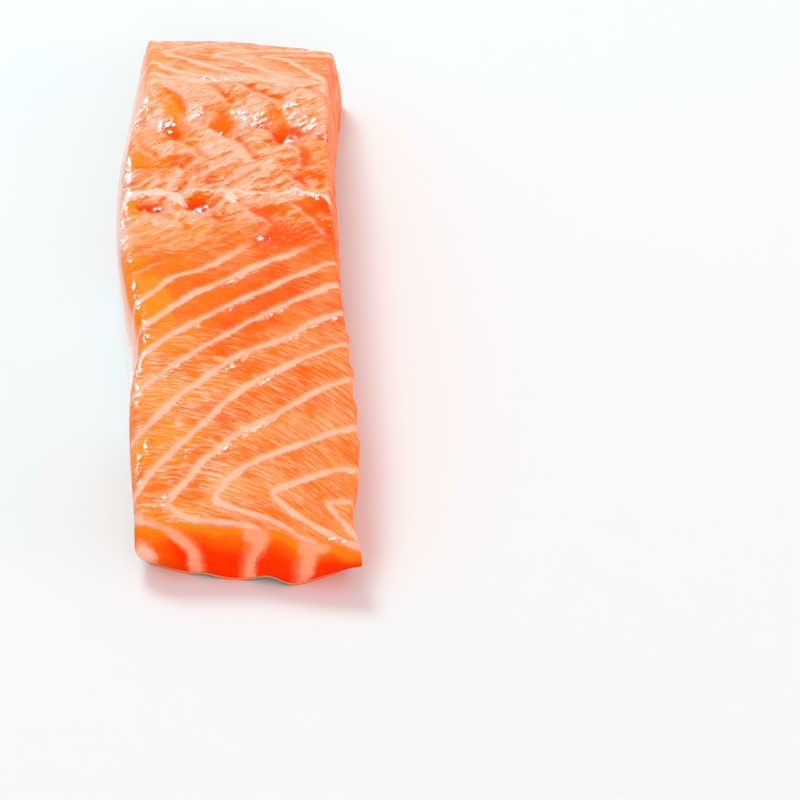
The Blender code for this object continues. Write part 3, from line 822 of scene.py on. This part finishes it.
class Graph:
    """A material's node tree, with short names for the nodes that these materials use."""

    def __init__(self, name):
        self.material = bpy.data.materials.new(name)
        self.material.use_nodes = True
        self.nodes = self.material.node_tree.nodes
        self.links = self.material.node_tree.links
        self.shader = self.nodes["Principled BSDF"]

    def put(self, socket, value):
        if isinstance(value, bpy.types.NodeSocket):
            self.links.new(value, socket)
        else:
            socket.default_value = value

    def shade(self, name, value):
        """Gives the shader a number, a colour or another node's result."""
        self.put(self.shader.inputs[name], value)

    def field(self, name):
        """The three parts of a vector field that the mesh carries."""
        node = self.nodes.new("ShaderNodeAttribute")
        node.attribute_name = name
        return self.parts(node.outputs["Vector"])

    def parts(self, vector):
        node = self.nodes.new("ShaderNodeSeparateXYZ")
        self.links.new(vector, node.inputs[0])
        return node.outputs

    def place(self):
        """The point's place in the object, in millimetres."""
        node = self.nodes.new("ShaderNodeTexCoord")
        return self.scaled(node.outputs["Object"], (1 / MM, 1 / MM, 1 / MM))

    def scaled(self, vector, by):
        node = self.nodes.new("ShaderNodeVectorMath")
        node.operation = "MULTIPLY"
        self.put(node.inputs[0], vector)
        self.put(node.inputs[1], by)
        return node.outputs[0]

    def vector(self, x, y, z):
        node = self.nodes.new("ShaderNodeCombineXYZ")
        for socket, value in zip(node.inputs, (x, y, z)):
            self.put(socket, value)
        return node.outputs[0]

    def math(self, operation, a, b=0.0, clamp=False):
        node = self.nodes.new("ShaderNodeMath")
        node.operation = operation
        node.use_clamp = clamp
        self.put(node.inputs[0], a)
        self.put(node.inputs[1], b)
        return node.outputs[0]

    def times(self, a, b):
        return self.math("MULTIPLY", a, b)

    def plus(self, a, b):
        return self.math("ADD", a, b)

    def leaning(self, place, lean, scales):
        """Places for a pattern drawn out along lines that rise to the right by this much."""
        x, y, z = self.parts(place)
        along = self.plus(x, self.times(y, lean))
        across = self.math("SUBTRACT", y, self.times(x, lean))
        scaled = (self.times(part, scale) for part, scale in zip((along, across, z), scales))
        return self.vector(*scaled)

    def mixed(self, share, a, b):
        node = self.nodes.new("ShaderNodeMix")
        self.put(node.inputs[0], share)
        self.put(node.inputs[2], a)
        self.put(node.inputs[3], b)
        return node.outputs[0]

    def ramp(self, value, low, high, to_low=0.0, to_high=1.0):
        """The value taken from one range to another, smoothly, and held beyond its ends."""
        node = self.nodes.new("ShaderNodeMapRange")
        node.interpolation_type = "SMOOTHSTEP"
        for socket, given in zip(node.inputs, (value, low, high, to_low, to_high)):
            self.put(socket, given)
        return node.outputs[0]

    def noise(self, vector, scale, detail=2.0, roughness=0.5, distortion=0.0):
        node = self.nodes.new("ShaderNodeTexNoise")
        names = ("Vector", "Scale", "Detail", "Roughness", "Distortion")
        for name, given in zip(names, (vector, scale, detail, roughness, distortion)):
            self.put(node.inputs[name], given)
        return node.outputs["Fac"]

    def cells(self, vector, scale, feature="F1"):
        node = self.nodes.new("ShaderNodeTexVoronoi")
        node.feature = feature
        self.put(node.inputs["Vector"], vector)
        self.put(node.inputs["Scale"], scale)
        return node.outputs["Distance"]

    def blend(self, share, a, b):
        node = self.nodes.new("ShaderNodeMix")
        node.data_type = "RGBA"
        self.put(node.inputs[0], share)
        self.put(node.inputs[6], a)
        self.put(node.inputs[7], b)
        return node.outputs[2]

    def bump(self, height, distance, below=None):
        """A bump of this many millimetres, on top of the one below."""
        node = self.nodes.new("ShaderNodeBump")
        self.put(node.inputs["Distance"], distance * MM)
        self.put(node.inputs["Height"], height)
        if below is not None:
            self.put(node.inputs["Normal"], below)
        return node.outputs[0]


YELLOW_FLESH = colour(250, 131, 22)
ORANGE_FLESH = colour(250, 104, 20)
RED_FLESH = colour(250, 80, 10)
# DEEP_FLESH also paints shade: on the back end's cut face and in the dips beside flakes and creases.
DEEP_FLESH = colour(246, 50, 1)
PALE_FLESH = colour(250, 158, 112)
PALEST_FLESH = colour(250, 190, 168)
# Pale of the seams' fat; also the torn edges' pale lips, which are partly a painted highlight.
SEAM_FAT_AND_HIGHLIGHT = colour(250, 177, 150)
BAND_FAT = colour(250, 157, 122)
MEMBRANE_WHITE = colour(250, 202, 184)
SIDE_FAT = colour(252, 248, 248)
WET_TINT = colour(255, 170, 110)
TORN_LEAN = 0.7


def fibre_patterns(g, place):
    """The muscle fibres, as bands and as thin lines, whole and torn loose."""
    along_grain, across_grain, loose = g.field("grain")
    grain = g.vector(along_grain, across_grain, 1.0)
    whole = g.scaled(grain, (0.17, 1.4, 0.0))
    torn = g.leaning(place, TORN_LEAN, (0.22, 0.95, 0.4))
    bands = g.mixed(loose, g.noise(whole, 1.0, 3.0, 0.6, 0.35), g.noise(torn, 1.0, 4.0, 0.65, 0.6))
    finer = g.scaled(grain, (0.2, 1.3, 3.0))
    torn_finer = g.leaning(place, TORN_LEAN, (0.35, 1.0, 0.5))
    lines = g.mixed(loose, g.noise(finer, 1.0, 2.0, 0.5, 0.5), g.noise(torn_finer, 1.0, 2.0, 0.5, 0.8))
    from_middle = g.math("ABSOLUTE", g.math("SUBTRACT", lines, 0.5))
    return bands, g.ramp(from_middle, 0.09, 0.03)


def flesh_pallor(g, place, mottle, bands, lines):
    """How pale the flesh is: stripes along its fibres, and clumps where it is torn loose."""
    _, _, loose = g.field("grain")
    _, pale, deep = g.field("tint")
    _, fibrous, face = g.field("side")
    presence = g.ramp(g.noise(place, 0.2, 2.0, 0.5), 0.35, 0.6, 0.35, 1.0)
    bands = g.times(g.ramp(bands, 0.4, 0.6, -0.5, 0.3), g.ramp(loose, 0.0, 1.0, 1.0, 0.6))
    lines = g.times(g.times(lines, presence), g.ramp(loose, 0.0, 1.0, 0.85, 0.4))
    stripes = g.times(g.plus(bands, lines), fibrous)
    bare = g.times(g.ramp(deep, 0.0, 0.5, 1.0, 0.0), g.ramp(face, 0.0, 1.0, 1.0, 0.2))
    stripes = g.times(stripes, bare)
    clumped = g.noise(g.leaning(place, TORN_LEAN, (0.1, 0.33, 0.3)), 1.0, 3.0, 0.6, 0.5)
    clumps = g.times(g.ramp(clumped, 0.5, 0.6, 0.0, -0.8), loose)
    pallor = g.plus(g.plus(pale, g.ramp(mottle, 0.3, 0.7, 0.1, -0.1)), stripes)
    return g.plus(pallor, clumps)


def bare_flesh(g, place, grit, bands, lines):
    """The flesh's colour: yellow to red, pale to deep, with pale edges on its flakes; the deep part includes
    painted shade, and the pale edges are partly a painted highlight.
    """
    red, _, deep = g.field("tint")
    _, _, edge = g.field("tear")
    mottle = g.noise(place, 0.11, 3.0, 0.55)
    ruddy = g.plus(red, g.ramp(mottle, 0.3, 0.7, -0.25, 0.25))
    flesh = g.blend(g.ramp(ruddy, 0.0, 0.5), YELLOW_FLESH, ORANGE_FLESH)
    flesh = g.blend(g.ramp(ruddy, 0.5, 1.0), flesh, RED_FLESH)
    pallor = flesh_pallor(g, place, mottle, bands, lines)
    flesh = g.blend(g.ramp(pallor, 0.0, 1.0), flesh, PALE_FLESH)
    flesh = g.blend(g.ramp(pallor, 0.8, 1.6), flesh, PALEST_FLESH)
    # Pale lips of the flakes and creases: the torn tissue's paleness, partly a painted highlight.
    rim = g.times(edge, g.ramp(grit, 0.3, 0.6, 0.35, 1.0))
    flesh = g.blend(rim, flesh, SEAM_FAT_AND_HIGHLIGHT)
    # The deep colour includes painted shade on the cut face and beside the flakes and creases.
    return g.blend(g.times(deep, g.ramp(pallor, 0.1, 1.0, 1.0, 0.3)), flesh, DEEP_FLESH)


def with_seams(g, place, grit, flesh):
    """The flesh with its seams: a clear core, and a faint halo that is wider on the side before it."""
    before, after, half_width = g.field("seam")
    _, _, loose = g.field("grain")
    _, _, face = g.field("side")
    swelling = g.noise(place, 0.17, 2.0, 0.5)
    wander = g.plus(g.ramp(grit, 0.3, 0.7, -0.25, 0.25), g.ramp(swelling, 0.3, 0.7, -0.3, 0.3))
    before = g.plus(g.math("DIVIDE", before, half_width), wander)
    after = g.plus(g.math("DIVIDE", after, half_width), wander)
    strength = g.ramp(loose, 0.0, 0.5, 1.0, 0.05)
    halo = g.times(g.ramp(before, 3.4, 1.0, 0.0, 0.45), g.ramp(after, 2.2, 0.9))
    flesh = g.blend(g.times(halo, strength), flesh, PALE_FLESH)
    core = g.times(g.ramp(before, 1.9, 0.6), g.ramp(after, 1.3, 0.85))
    clear = g.times(strength, g.ramp(swelling, 0.3, 0.6, 1.0, 0.75))
    return g.blend(g.times(core, clear), flesh, g.blend(face, SEAM_FAT_AND_HIGHLIGHT, BAND_FAT))


def with_membrane_and_fat(g, place, grit, flesh):
    """The flesh with the frayed white membrane, and with the fat of its side walls."""
    outside, _, _ = g.field("tear")
    fat, _, _ = g.field("side")
    frayed = g.plus(outside, g.ramp(grit, 0.3, 0.7, -0.3, 0.3))
    flesh = g.blend(g.ramp(frayed, 0.45, -0.15), flesh, MEMBRANE_WHITE)
    flecks = g.times(fat, g.ramp(g.noise(place, 0.9, 2.0, 0.5), 0.62, 0.7, 1.0, 0.2))
    return g.blend(flecks, flesh, SIDE_FAT)


def flesh_material():
    g = Graph("salmon_flesh_wet")
    place = g.place()
    grit = g.noise(place, 1.3, 3.0, 0.6)
    bands, lines = fibre_patterns(g, place)
    flesh = with_seams(g, place, grit, bare_flesh(g, place, grit, bands, lines))
    flesh = with_membrane_and_fat(g, place, grit, flesh)
    _, wet, _ = g.field("tear")
    _, _, loose = g.field("grain")
    g.shade("Base Color", flesh)
    gloss = g.plus(g.ramp(grit, 0.35, 0.7, 0.3, 0.45), g.times(wet, -0.12))
    g.shade("Roughness", gloss)
    g.shade("Subsurface Weight", 0.06)
    g.shade("Subsurface Radius", (1.0, 0.4, 0.2))
    g.shade("Subsurface Scale", 1.4 * MM)
    g.shade("IOR", 1.4)
    g.shade("Specular IOR Level", 0.004)
    g.shade("Specular Tint", WET_TINT)
    g.shade("Coat Weight", g.ramp(wet, 0.05, 0.4, 0.01, 1.0))
    g.shade("Coat Roughness", 0.05)
    g.shade("Coat IOR", 1.45)

    wrinkles = g.noise(place, 0.8, 4.0, 0.6, 0.4)
    glitter = g.noise(g.leaning(place, TORN_LEAN, (0.7, 1.4, 1.1)), 1.0, 0.0, 0.5, 0.3)
    dry = g.ramp(wet, 0.0, 0.4, 1.0, 0.0)
    rough = g.times(g.ramp(loose, 0.0, 1.0, 0.3, 1.0), dry)
    bump = g.bump(g.times(wrinkles, rough), 0.45)
    bump = g.bump(g.times(glitter, g.ramp(wet, 0.05, 0.4)), 1.3, bump)
    bump = g.bump(g.times(bands, dry), 0.22, bump)
    bump = g.bump(g.times(lines, dry), 0.06, bump)
    g.shade("Normal", bump)
    g.shade("Coat Normal", bump)
    return g.material


SKIN_SILVER = colour(196, 196, 190)
SKIN_OLIVE = colour(96, 100, 84)
SKIN_DARK = colour(52, 56, 50)
SKIN_EDGE = colour(170, 150, 116)
SKIN_STAINED = colour(245, 124, 80)


def skin_material():
    g = Graph("salmon_skin")
    x, y, height = g.field("skin")
    place = g.vector(x, y, 0.0)
    scales_place = g.scaled(place, (0.26, 0.36, 0.0))
    scales = g.cells(scales_place, 1.0)
    rims = g.cells(scales_place, 1.0, "DISTANCE_TO_EDGE")
    mottle = g.noise(place, 0.12, 3.0, 0.6)
    spots = g.cells(place, 0.085)

    darkness = g.math("ADD", g.ramp(y, 60.0, -85.0), g.ramp(mottle, 0.3, 0.7, -0.12, 0.12), clamp=True)
    skin = g.blend(g.ramp(darkness, 0.1, 0.75), SKIN_SILVER, SKIN_OLIVE)
    skin = g.blend(g.ramp(darkness, 0.75, 1.0), skin, SKIN_DARK)
    skin = g.blend(g.ramp(rims, 0.09, 0.02, 0.0, 0.35), skin, SKIN_DARK)
    skin = g.blend(g.ramp(scales, 0.6, 0.1, 0.0, 0.25), skin, SKIN_SILVER)
    spotted = g.times(g.ramp(spots, 0.2, 0.13), g.ramp(darkness, 0.4, 0.6))
    skin = g.blend(spotted, skin, SKIN_DARK)
    curl, _, _ = g.field("curl")
    stained = g.blend(g.ramp(curl, 0.1, 0.6), SKIN_STAINED, SKIN_EDGE)
    skin = g.blend(g.ramp(height, 0.05, 0.3), skin, stained)
    g.shade("Base Color", skin)
    g.shade("Roughness", g.ramp(scales, 0.0, 0.6, 0.22, 0.38))
    g.shade("Specular IOR Level", 0.6)
    bump = g.bump(g.ramp(rims, 0.0, 0.12), 0.12)
    g.shade("Normal", g.bump(mottle, 0.2, bump))
    return g.material


# --------------------------------------
# Floor, light and camera

FLOOR_SIDE = 4.0
FLOOR_COLOUR = colour(219, 219, 220)
STUDIO_COLOUR, STUDIO_STRENGTH = (1.0, 0.88, 0.87, 1.0), 0.83
CAMERA_TARGET = Vector((0.0341, -0.02665, 0.0))
CAMERA_PITCH = np.radians(34.3)
CAMERA_DISTANCE = 1.65
CAMERA_LENS = 358.3

# Square lights that look at the origin. The glint light shows only as a reflection.
Lamp = namedtuple("Lamp", "name towards distance size power tint")
KEY = Lamp("key", (-0.35, 0.75, 1.0), 1.5, 0.5, 15.4, (0.6, 0.93, 0.96))
GLINT = Lamp("glint", (-0.5, 0.65, 0.95), 1.5, 0.75, 240.0, (1.0, 1.0, 1.0))
FILL = Lamp("fill", (0.1, -1.0, 0.45), 2.0, 1.2, 16.0, (1.0, 0.97, 0.95))
BOUNCE = Lamp("bounce", (1.0, -0.35, 0.22), 1.0, 0.5, 3.2, (1.0, 0.42, 0.25))


def floor_piece():
    mesh = bpy.data.meshes.new("floor")
    half = FLOOR_SIDE / 2
    corners = [(-half, -half, 0), (half, -half, 0), (half, half, 0), (-half, half, 0)]
    mesh.from_pydata(corners, [], [(0, 1, 2, 3)])
    floor = bpy.data.objects.new("floor", mesh)
    bpy.context.collection.objects.link(floor)
    g = Graph("floor_paper")
    g.shade("Base Color", FLOOR_COLOUR)
    g.shade("Roughness", 0.8)
    g.shade("Specular IOR Level", 0.0)
    mesh.materials.append(g.material)
    return floor


def area_light(lamp):
    data = bpy.data.lights.new(lamp.name, "AREA")
    data.size = lamp.size
    data.energy = lamp.power
    data.color = lamp.tint
    light = bpy.data.objects.new(lamp.name, data)
    direction = Vector(lamp.towards).normalized()
    light.location = direction * lamp.distance
    light.rotation_euler = direction.to_track_quat("Z", "Y").to_euler()
    bpy.context.collection.objects.link(light)
    return light


def light_scene():
    world = bpy.data.worlds.new("studio")
    world.use_nodes = True
    background = world.node_tree.nodes["Background"]
    background.inputs["Color"].default_value = STUDIO_COLOUR
    background.inputs["Strength"].default_value = STUDIO_STRENGTH
    world.cycles_visibility.glossy = False
    bpy.context.scene.world = world
    area_light(KEY)
    area_light(GLINT).visible_diffuse = False
    for lamp in (FILL, BOUNCE):
        area_light(lamp).visible_glossy = False
    bpy.context.scene.view_settings.view_transform = "Standard"


def place_camera():
    data = bpy.data.cameras.new("camera")
    data.lens = CAMERA_LENS
    data.clip_end = 20.0
    camera = bpy.data.objects.new("camera", data)
    back = Vector((0.0, -np.cos(CAMERA_PITCH), np.sin(CAMERA_PITCH)))
    camera.location = CAMERA_TARGET + back * CAMERA_DISTANCE
    camera.rotation_euler = (np.pi / 2 - CAMERA_PITCH, 0.0, 0.0)
    bpy.context.collection.objects.link(camera)
    bpy.context.scene.camera = camera


# --------------------------------------
# The scene

flesh = flesh_piece()
flesh.data.materials.append(flesh_material())
skin = skin_piece()
skin.data.materials.append(skin_material())
for piece in (flesh, skin):
    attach(piece, "root")
    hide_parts("fillet")

floor_piece()
light_scene()
place_camera()
